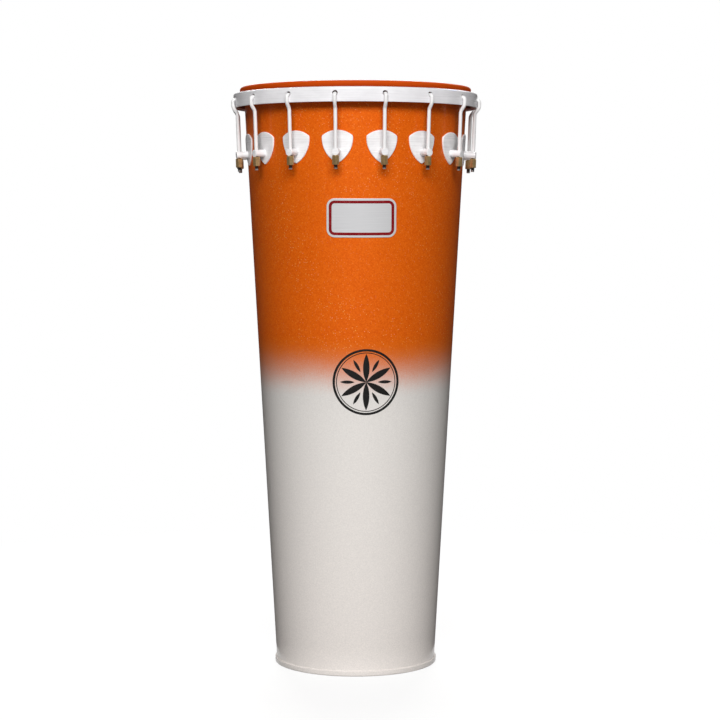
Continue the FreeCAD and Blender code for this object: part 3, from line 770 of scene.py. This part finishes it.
def make_tension_hoop(looks, angles):
    here, size = HERE, SIZES
    corner, edge = size.tension_hoop_corner, size.tension_hoop_edge
    inside, outside = here.band_inside, here.band_outside
    lip = here.film_outside + size.flange_gap
    outline = quarter((inside, here.hoop_bottom), edge, 180, 5)
    outline += quarter((outside, here.hoop_bottom), edge, 270, 5)
    outline += between(outline[-1], (outside, here.hoop_top - corner), 4)[:-1]
    outline += quarter((outside, here.hoop_top), corner, 0, 9)
    outline += quarter((lip, here.hoop_top), edge, 90, 5)
    outline += [(lip, here.flange_under), (inside, here.flange_under)]
    hoop = lathed(outline, HOOP_SEGMENTS, closed=True)

    # Each hole flares a little at the band's face, where the paint has a rounded lip.
    radius, flare = size.hook_hole_radius, size.hook_hole_lip
    reach = size.tension_hoop_wall
    profile = [(0, inside - reach), (radius, inside - reach), (radius, outside - flare * 1.6)]
    profile += [(radius + flare * 0.35, outside - flare * 0.6), (radius + flare * 1.6, outside + flare)]
    profile += [(0, outside + flare)]
    out = Matrix.Translation((0, 0, here.hole_height)) @ Matrix.Rotation(math.pi / 2, 4, "Y")
    holes = lathed(profile, SMALL_SEGMENTS, [Matrix.Rotation(angle, 4, "Z") @ out for angle in angles])
    cut_away(hoop.piece("outer_hoop", "head", "white_paint", [looks.band], ["tension_hoop"]), holes)


def bend(middle, radius, start, end, steps):
    """Points along an arc, each with the angle that the arc heads in there, in degrees."""
    points = arc(middle, radius, start, end, steps)
    ahead = -90 if end < start else -270
    return [(point, start + (end - start) * step / steps + ahead) for step, point in enumerate(points)]


def rod_stations():
    """Points along the rod's middle line with the angle it heads in, in the plane through its lug."""
    here, size = HERE, SIZES
    tip = here.flesh_outside + size.hook_tip_gap
    reach = size.rod_radius + size.hook_face_gap
    face = here.band_outside + reach
    jog, turned, tilt = size.jog_radius, JOG_ANGLE, ROD_TILT
    top = (face, here.hoop_bottom + size.jog_rise)
    first = (top[0] - jog * (1 - math.cos(turned)), top[1] - jog * math.sin(turned))
    across = jog * (1 + math.cos(tilt) - 2 * math.cos(turned))
    down = jog * (2 * math.sin(turned) - math.sin(tilt))
    rise = top[1] - down - here.rod_height_at_lug
    missing = face - across - here.rod_radius_at_lug - rise * math.tan(tilt)
    slope = missing / (math.sin(turned) - math.cos(turned) * math.tan(tilt))
    second = (first[0] - slope * math.sin(turned), first[1] - slope * math.cos(turned))
    middle = (second[0] + jog * math.cos(turned), second[1] - jog * math.sin(turned))
    turned, tilt = math.degrees(turned), math.degrees(tilt)
    hook = bend((here.band_outside, here.hook_height - reach), reach, 90, 0, 10)
    bow = bend((top[0] - jog, top[1]), jog, 0, -turned, 6)
    back = bend(middle, jog, 180 - turned, 180 - tilt, 6)
    return [((tip, here.hook_height), 0)] + hook + bow + back


def rod_levels():
    """Levels on the rod's axis, from its crossing with the post: plain, hidden and tail, going down."""
    size, here = SIZES, HERE
    plain = [size.rod_ring_rise, size.rod_ring_rise / 2, 0.0]
    start = here.nut_bottom + size.thread_pitch
    hidden = [-size.thread_start_drop, here.nut_top, start]
    count = int((size.thread_tail + size.thread_pitch) * THREAD_STEPS / size.thread_pitch)
    tail = [start - size.thread_pitch * step / THREAD_STEPS for step in range(1, count)]
    return plain, hidden, tail + [here.thread_end]


def thread_reach(turn, level):
    """The tail's radius in a direction and at a level: a winding ridge, tapered at the cut end."""
    size = SIZES
    phase = (level / size.thread_pitch + turn / math.tau) % 1.0
    # The groove stays just short of the thread's depth, and the taper goes beyond it.
    groove_depth, taper_depth = size.thread_depth * 0.98, size.thread_depth * 1.6
    taper_length = size.thread_pitch * 0.6
    groove = groove_depth * (1 - abs(phase * 2 - 1))
    left = (level - HERE.thread_end) / taper_length
    return size.thread_radius - max(groove, taper_depth * (1 - min(left, 1.0)))


def make_rod(number, angle, looks):
    here, size = HERE, SIZES
    build = Build()
    spin = Matrix.Rotation(angle, 4, "Z")
    rounds = round_angles(ROD_SEGMENTS)
    loops = []

    def ring(centre, heading, radius):
        heading = math.radians(heading)
        lift = Vector((-math.sin(heading), 0, math.cos(heading)))
        middle = Vector((centre[0], 0, centre[1]))
        loops.append(build.loop([
            spin @ (middle + (lift * math.cos(turn) + Vector((0, math.sin(turn), 0))) * radius)
            for turn in rounds
        ]))

    def along(level):
        return (
            here.rod_radius_at_lug + level * math.sin(ROD_TILT),
            here.rod_height_at_lug + level * math.cos(ROD_TILT),
        )

    stations = rod_stations()
    start = stations[0][0]
    chamfer = size.hook_tip_chamfer
    loops.append(build.loop([spin @ Vector((start[0], 0, start[1]))]))
    ring(start, 0, size.rod_radius - chamfer)
    ring((start[0] + chamfer, start[1]), 0, size.rod_radius)
    for centre, heading in stations[1:]:
        ring(centre, heading, size.rod_radius)
    down = -90 - math.degrees(ROD_TILT)
    plain, hidden, tail = rod_levels()
    for level in plain:
        ring(along(level), down, size.rod_radius)
    painted = len(loops)
    for level in hidden:
        ring(along(level), down, size.thread_radius)
    # The rings above start at the side away from the drum, and so do those of the axes here.
    axes = rod_frame(angle)
    for level in tail:
        points = [axes @ polar(thread_reach(turn, level), turn, level) for turn in rounds]
        loops.append(build.loop(points))
    loops.append(build.loop([axes @ Vector((0, 0, here.thread_end))]))
    build.bridge_all(loops, second_from=painted)
    name, node = f"rod_{number}", f"tension_rod_{number}"
    build.piece(name, name, "rod_paint", [looks.rod, looks.thread], [node])


def hexagon_reach(turn, flat, corner):
    """How far a hexagon with rounded corners reaches in a direction, from the middle of one side."""
    step = math.tau / NUT_SIDES
    off = abs((turn + step / 2) % step - step / 2)
    middle = (flat - corner) / math.cos(step / 2)
    from_corner = step / 2 - off
    across = middle * math.sin(from_corner)
    if across < corner and off > math.atan((flat - corner) * math.tan(step / 2) / flat):
        return middle * math.cos(from_corner) + math.sqrt(corner * corner - across * across)
    return flat / math.cos(off)


def make_nut(number, angle, looks):
    here, size = HERE, SIZES
    flat, chamfer = size.nut_width / 2, size.nut_bore_chamfer
    bore = size.thread_radius + size.thread_clearance
    place = rod_frame(angle) @ Matrix.Rotation(NUT_TURN * int(number), 4, "Z")
    rounds = round_angles(NUT_SIDES * NUT_SIDE_STEPS)
    count = len(rounds)
    inner = flat - size.nut_chamfer
    fall = math.tan(NUT_CHAMFER_ANGLE)
    # Rings from the bore over an end to the sides, as radii and as depths below the end
    reaches = [hexagon_reach(turn, flat, size.nut_edge) for turn in rounds]
    eased = [reach - size.nut_ease_in for reach in reaches]
    halfway = [(inner + reach) / 2 for reach in reaches]
    rows = [
        ([bore] * count, [chamfer] * count),
        ([bore + chamfer] * count, [0.0] * count),
        ([inner] * count, [0.0] * count),
        (halfway, [(reach - inner) * fall for reach in halfway]),
        (eased, [(reach - inner) * fall for reach in eased]),
        (reaches, [(reach - inner) * fall + size.nut_ease_down for reach in reaches]),
    ]
    build = Build()
    loops = []
    for end, inward, going in ((here.nut_top, -1, rows), (here.nut_bottom, 1, reversed(rows))):
        for radii, depths in going:
            loops.append(build.loop([
                place @ polar(radius, turn, end + inward * depth)
                for turn, radius, depth in zip(rounds, radii, depths)
            ]))
    build.bridge_all(loops, closed=True)
    name, node = f"nut_{number}", f"tuning_nut_{number}"
    build.piece(name, name, "brass", [looks.brass], [node], NUT_SMOOTH_ANGLE)


def make_posts(angles, looks):
    here, size = HERE, SIZES
    chamfer = size.post_chamfer
    end, base, radius = here.post_end, here.post_base, size.post_radius
    # Rings on both sides of the cross hole keep its shading off the rest of the post.
    outline = [(0, base), (radius, base), (radius, base + size.post_ring_rise)]
    outline += [(radius, end - size.post_ring_drop), (radius, end - chamfer * 1.5)]
    outline += quarter((radius, end), chamfer, 0, 5)[1:]
    outline += [(0, end)]
    posts = lathed(outline, POST_SEGMENTS, [lug_frame(angle) for angle in angles])
    hole = size.thread_radius + size.rod_hole_clearance
    reach = radius * 1.5
    drill = [(0, -reach), (hole, -reach), (hole, reach), (0, reach)]
    holes = lathed(drill, SMALL_SEGMENTS, [rod_frame(angle) for angle in angles])
    cut_away(posts.piece("lug_post_set", "shell", "white_paint", [looks.white], ["lug_posts"]), holes)


def washer_face():
    inside = HERE.lug_radius - SIZES.shell_wall
    hollow = inside - math.sqrt(inside * inside - SIZES.washer_radius * SIZES.washer_radius)
    return -(SIZES.shell_wall + hollow + SIZES.washer_seat_gap)


def make_screws(angles, looks):
    here, size = HERE, SIZES
    seat = washer_face() - size.washer_thickness
    top = seat - size.screw_head_height
    wide, thin = size.screw_head_radius, size.screw_radius
    outline = [(0, here.post_base + size.screw_reach), (thin, here.post_base + size.screw_reach)]
    outline += [(thin, seat), (wide, seat)]
    outline += quarter((wide, top), size.screw_head_round, 270, 7)[::-1]
    outline += [(0, top)]
    turns = [Matrix.Rotation(NUT_TURN * index, 4, "Z") for index in range(len(angles))]
    places = [lug_frame(angle) @ turn for angle, turn in zip(angles, turns)]
    screws = lathed(outline, SMALL_SEGMENTS, places)
    half, reach = size.screw_slot_width / 2, wide * 1.2
    corners = [(-half, -reach), (half, -reach), (half, reach), (-half, reach)]
    levels = (top - size.screw_slot_depth, top + size.screw_slot_depth)
    slots = Build()
    for place in places:
        loops = [slots.loop([place @ Vector((x, y, level)) for x, y in corners]) for level in levels]
        caps = [slots.loop([place @ Vector((0, 0, level))]) for level in levels]
        slots.bridge_all([caps[0], *loops, caps[1]])
    cut_away(screws.piece("lug_screw_set", "shell", "plated_steel", [looks.steel], ["lug_screws"]), slots)


def make_washers(angles, looks):
    size, face = SIZES, washer_face()
    hole, wide, edge = size.screw_radius + size.screw_hole_clearance, size.washer_radius, size.washer_edge
    low = face - size.washer_thickness
    outline = [(hole, face), (wide - edge, face), (wide, face - edge), (wide, low + edge)]
    outline += [(wide - edge, low), (hole + edge, low), (hole, low + edge)]
    washers = lathed(outline, SMALL_SEGMENTS, [lug_frame(angle) for angle in angles], closed=True)
    washers.piece("lug_washer_set", "shell", "plated_steel", [looks.steel], ["lug_washers"])


def on_shell(height, angle, across, up, lift):
    """A point of a flat drawing laid on the shell: the drawing touches it at a height and angle."""
    point = Vector((HERE.wall_face(height), 0, height)) + HERE.up_wall * up + Vector((0, across, 0))
    out = HERE.off_wall
    # The point moves along the drawing's normal until it lies as far off the wall as it should.
    for _ in range(6):
        radius = math.hypot(point.x, point.y)
        short = HERE.wall_face(point.z) + lift - radius
        point += out * (short / (point.x / radius * out.x - HERE.slope * out.z))
    return Matrix.Rotation(angle, 4, "Z") @ point


def circles_meet(first, second, near):
    """Where two circles, each (middle, radius), cross, nearest to a point."""
    (ax, ay), ra = first
    (bx, by), rb = second
    gap = math.hypot(bx - ax, by - ay)
    along = (ra * ra - rb * rb + gap * gap) / (2 * gap)
    aside = math.sqrt(ra * ra - along * along)
    ux, uy = (bx - ax) / gap, (by - ay) / gap
    found = [
        (ax + ux * along + uy * aside * sign, ay + uy * along - ux * aside * sign) for sign in (1, -1)
    ]
    return min(found, key=lambda point: math.hypot(point[0] - near[0], point[1] - near[1]))


def toward(start, end):
    return math.atan2(end[1] - start[1], end[0] - start[0])


def swing(middle, radius, start, end, steps):
    """An arc the short way from one angle to another, in radians."""
    turn = (end - start + math.pi) % math.tau - math.pi
    return arc(middle, radius, math.degrees(start), math.degrees(start + turn), steps)


def shield(inset):
    """The lug plate's outline: three bulging sides and rounded corners, so far in from its edge."""
    size = SIZES
    wide, tip, shoulder = size.plate_half_width, size.plate_tip_drop, size.plate_shoulder_rise
    arch = size.plate_top_rise - shoulder
    top_radius = (wide * wide + arch * arch) / (arch * 2)
    drop = shoulder + tip
    span = math.hypot(wide, drop)
    bulge = size.plate_side_bulge
    side_radius = (span * span / 4 + bulge * bulge) / (bulge * 2)
    inward = side_radius - bulge
    centre = (wide / 2 - inward * drop / span, (shoulder - tip) / 2 + inward * wide / span)
    # Going round from the tip: right side, top, left side. The drawing's right is +across.
    circles = [
        (centre, side_radius),
        ((0, size.plate_top_rise - top_radius), top_radius),
        ((-centre[0], centre[1]), side_radius),
    ]
    corners = [(0, -tip), (wide, shoulder), (-wide, shoulder)]
    rounding = size.plate_corner
    middles = [
        circles_meet((before[0], before[1] - rounding), (after[0], after[1] - rounding), corner)
        for before, after, corner in zip(circles[-1:] + circles, circles, corners)
    ]
    points = []
    for index, middle in enumerate(middles):
        before, after = circles[index - 1][0], circles[index]
        following = middles[(index + 1) % 3]
        points += swing(middle, rounding - inset, toward(before, middle), toward(after[0], middle), 6)
        points += swing(
            after[0], after[1] - inset, toward(after[0], middle), toward(after[0], following), 26
        )[1:-1]
    return points


def rounded_box(half_width, half_height, corner):
    """An outline for bent_plate: a box with round corners."""
    def outline(inset):
        right, top = half_width - inset, half_height - inset
        spots = [(right, top), (-right, top), (-right, -top), (right, -top)]
        arcs = [quarter(spot, corner - inset, 90 * index, 12) for index, spot in enumerate(spots)]
        points = []
        for one, after in zip(arcs, arcs[1:] + arcs[:1]):
            points += one + between(one[-1], after[0], 10)[:-1]
        return points

    return outline


def bent_plate(build, outline, place, gap, thickness, edge, hole=0.0):
    """A plate laid on the shell, with the rim of its front face rounded."""
    def loop(points, lift):
        return build.loop([on_shell(*place, across, up, lift) for across, up in points])

    def fan(points, lift):
        """Loops from the middle, or the hole, out to the given points."""
        loops = [] if hole else [loop([(0, 0)], lift)]
        for ring in range(len(loops), PLATE_RINGS):
            row = []
            for across, up in points:
                reach = math.hypot(across, up)
                kept = (hole + (reach - hole) * ring / PLATE_RINGS) / reach
                row.append((across * kept, up * kept))
            loops.append(loop(row, lift))
        return loops

    rim = outline(0.0)
    loops = fan(rim, gap) + [loop(rim, gap), loop(rim, gap + thickness - edge)]
    for step in range(1, PLATE_EDGE_STEPS + 1):
        turn = math.pi / 2 * step / PLATE_EDGE_STEPS
        inset = edge * (1 - math.cos(turn))
        loops.append(loop(outline(inset), gap + thickness - edge * (1 - math.sin(turn))))
    # One more loop close inside keeps the rounding's shading off the flat of the face.
    flat = outline(edge * 1.5)
    loops.append(loop(flat, gap + thickness))
    loops += reversed(fan(flat, gap + thickness))
    build.bridge_all(loops, closed=bool(hole))


def make_lug_plate(number, angle, looks):
    size = SIZES
    place = (HERE.lug_height, angle)
    hole = size.screw_radius + size.screw_hole_clearance
    build = Build()
    bent_plate(build, shield, place, size.plate_seat_gap, size.plate_thickness, size.plate_edge, hole)
    name, node = f"plate_{number}", f"lug_plate_{number}"
    build.piece(name, "shell", "white_paint", [looks.white], [node])


def make_nameplate(looks):
    """A blank brushed plate with a thin enamelled border."""
    size = SIZES
    gap, thickness = size.nameplate_seat_gap, size.nameplate_thickness
    place = (size.shell_height - size.nameplate_drop, NAMEPLATE_ANGLE)
    outline = rounded_box(size.nameplate_half_width, size.nameplate_half_height, size.nameplate_corner)
    build = Build()
    bent_plate(build, outline, place, gap, thickness, size.nameplate_edge)
    build.piece("name_plate", "shell", "nameplate", [looks.plate], ["nameplate"])

    near = size.border_inset
    far, bevel = near + size.border_width, size.border_bevel
    face = gap + thickness
    low, middle, high = face - size.border_sink, face + size.border_rise / 2, face + size.border_rise
    section = [(near, low), (near, middle), (near + bevel, high)]
    section += [(far - bevel, high), (far, middle), (far, low)]
    border = Build()
    loops = [
        border.loop([on_shell(*place, across, up, lift) for across, up in outline(inset)])
        for inset, lift in section
    ]
    border.bridge_all(loops, closed=True)
    border.piece("name_plate_border", "shell", "nameplate", [looks.enamel])


def strip(build, rows, place, low, high):
    """A thin solid laid on the shell: rows of points, each row as long as the others."""
    loops = []
    for row in rows:
        below = [on_shell(*place, across, up, low) for across, up in row]
        above = [on_shell(*place, across, up, high) for across, up in row]
        loops.append(build.loop(below + above[::-1]))
    build.bridge_all(loops)
    for loop in (loops[0], loops[-1]):
        for column in range(len(rows[0]) - 1):
            build.face((loop[column], loop[column + 1], loop[-2 - column], loop[-1 - column]))


def petal(turn, middle, length):
    """Rows of points of a pointed leaf between two arcs, lying along a ray from the rosette's middle."""
    slimness, trimmed = 0.86, 0.985
    rows = []
    for step in range(PETAL_STEPS + 1):
        along = length * trimmed * (step / PETAL_STEPS - 0.5)
        half = (math.sqrt(length * length - along * along) - length * math.cos(math.pi / 6)) * slimness
        away = middle + along
        row = []
        for column in range(PETAL_COLUMNS):
            aside = half * (2 * column / (PETAL_COLUMNS - 1) - 1)
            row.append((
                away * math.cos(turn) - aside * math.sin(turn),
                away * math.sin(turn) + aside * math.cos(turn),
            ))
        rows.append(row)
    return rows


def make_emblem(looks):
    """A plain six-petalled rosette in a ring, printed on the shell."""
    size = SIZES
    place = (size.emblem_height, EMBLEM_ANGLE)
    low, high = size.emblem_lift, size.emblem_lift + size.emblem_thickness
    line = size.emblem_line
    radius = size.emblem_radius - line * 2
    build = Build()
    # Six long petals, and six short ones between them: degrees, and shares of the rosette's radius
    for index in range(6):
        for turn, middle, length in ((30, 0.5, 1.0), (0, 0.66, 0.5)):
            rows = petal(math.radians(turn + 60 * index), radius * middle, radius * length)
            strip(build, rows, place, low, high)
    for outer, width in ((size.emblem_radius, line), (radius + line * 0.55, line * 0.35)):
        section = [(outer - width, low), (outer - width, high), (outer, high), (outer, low)]
        loops = [
            build.loop([
                on_shell(*place, reach * math.cos(turn), reach * math.sin(turn), lift)
                for turn in round_angles(EMBLEM_SEGMENTS)
            ])
            for reach, lift in section
        ]
        build.bridge_all(loops, closed=True)
    build.piece("emblem", "shell", "shell_paint", [looks.black])


# Studio: the camera and the lights are placed in metres.

def make_camera():
    data = bpy.data.cameras.new("camera")
    data.sensor_width = CAMERA_SENSOR
    data.lens = CAMERA_LENS
    camera = add("camera", data)
    camera.location = CAMERA_PLACE
    camera.rotation_euler = (math.radians(90.0) - CAMERA_TILT, 0.0, 0.0)
    bpy.context.scene.camera = camera


def area_light(name, at, target, wide, tall, power):
    data = bpy.data.lights.new(name, "AREA")
    data.shape = "RECTANGLE"
    data.size, data.size_y = wide, tall
    data.energy = power
    light = add(name, data)
    light.location = at
    light.rotation_euler = (Vector(target) - Vector(at)).to_track_quat("-Z", "Y").to_euler()
    return light


def make_world():
    """White behind the object, also in its reflections, and a weak fill light all round."""
    world = bpy.data.worlds.new("studio")
    bpy.context.scene.world = world
    world.use_nodes = True
    nodes = Nodes(world.node_tree)
    nodes.tree.nodes.clear()
    white = nodes.node("ShaderNodeBackground", {"Color": (1.0, 1.0, 1.0)})
    fill = nodes.node("ShaderNodeBackground", {"Color": (1.0, 0.85, 0.74), "Strength": 0.045})
    both = nodes.blend(nodes.shows(), fill, white)
    nodes.node("ShaderNodeOutputWorld", {"Surface": both.outputs[0]})


def studio_surface(name, outline, look):
    """A surface of the studio, turned about the middle line."""
    return add(name, lathed(outline, STUDIO_SEGMENTS).mesh(name, [look.material]))


def make_floor():
    """A pale floor, seen as white by the camera and by reflections, with a faint shadow."""
    look = Look("floor", {"Roughness": 0.9, "Specular IOR Level": 0.0})
    cloud = look.noise((6, 6, 6), 2)
    look.set(Base_Color=look.mix(cloud, (0.21, 0.21, 0.21), (0.23, 0.23, 0.23)))
    # What is seen is a paper that takes the shadow near the object, and an even white further off.
    away = look.away()
    paper = look.node("ShaderNodeBsdfDiffuse", {"Color": (0.8, 0.8, 0.8)})
    power = look.fit(away, 0.5, 1.4, 1.12, 1.0)
    glow = look.node("ShaderNodeEmission", {"Color": (1.0, 1.0, 1.0), "Strength": power})
    seen = look.blend(look.fit(away, 0.3, 1.4, 0.7, 1.0), paper, glow)
    both = look.blend(look.shows(), look.shader, seen)
    look.feed(look.tree.nodes["Material Output"].inputs["Surface"], both.outputs[0])
    floor = studio_surface("floor", [(0, 0), (400, 0), (1500, 0), (4000, 0), (9000, 0)], look)
    floor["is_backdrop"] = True


def make_cloths():
    """Dark cloth on the ground, round the object and over it. Only reflections show it, as dark edges."""
    around = [(160, 10), (2400, 10), (2400, 1700)]
    above = [(0, 2600), (2000, 2600)]
    for name, outline in (("wall_cloth", around), ("top_cloth", above)):
        look = Look(name, {"Roughness": 1.0, "Specular IOR Level": 0.0})
        weave = look.noise((400, 400, 400), 2)
        look.set(Base_Color=look.mix(weave, (0.03, 0.03, 0.03), (0.05, 0.05, 0.05)))
        cloth = studio_surface(name, outline, look)
        cloth.visible_camera = False
        cloth.visible_diffuse = False
        cloth.visible_transmission = False
        cloth.visible_shadow = False
        cloth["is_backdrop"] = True


def make_studio():
    make_camera()
    make_world()
    make_floor()
    make_cloths()
    middle = (0.0, 0.0, 0.5)
    area_light("key", at=(0.0, -4.9, 3.7), target=middle, wide=4.4, tall=2.0, power=341.0)
    area_light("back", at=(0.0, 4.9, 3.7), target=middle, wide=3.0, tall=2.0, power=310.0)
    foot = (0.0, 0.0, 0.1)
    low = area_light("low_fill", at=(0.0, -1.2, 0.06), target=foot, wide=1.0, tall=0.3, power=3.6)
    low.visible_glossy = False
    bpy.context.scene.view_settings.view_transform = "Standard"


def main():
    looks = SimpleNamespace(
        shell=shell_paint(),
        inside=bare_aluminium(),
        # The lugs and the hoop share one white paint. The lugs' copy goes lighter, as painted light; the
        # hoop's is greyer.
        white=white_paint("white_paint", (0.77, 0.76, 0.77), (0.97, 0.965, 0.97)),
        band=white_paint("band_paint", (0.79, 0.78, 0.80), (0.90, 0.89, 0.91)),
        rod=rod_paint(),
        thread=thread_steel(),
        brass=brass(),
        steel=plated_steel(),
        plate=brushed_aluminium(),
        enamel=enamel(),
        black=printed_black(),
        film=head_film(),
        flesh=flesh_hoop_paint(),
    )
    make_studio()
    lugs = []
    for joint in frame["joints"]:
        if joint["name"].startswith("nut_turn_"):
            place = joint["pos_m"]
            lugs.append((joint["name"][-2:], math.atan2(place[1], place[0])))
    angles = [angle for _, angle in lugs]
    make_shell(looks)
    make_head_film(looks)
    make_flesh_hoop(looks)
    make_tension_hoop(looks, angles)
    make_posts(angles, looks)
    make_screws(angles, looks)
    make_washers(angles, looks)
    make_nameplate(looks)
    make_emblem(looks)
    for number, angle in lugs:
        make_lug_plate(number, angle, looks)
        make_rod(number, angle, looks)
        make_nut(number, angle, looks)


main()

boxes = {"cad": cad_box, "visual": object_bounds()}
{name: [list(corner) for corner in box] for name, box in boxes.items()}
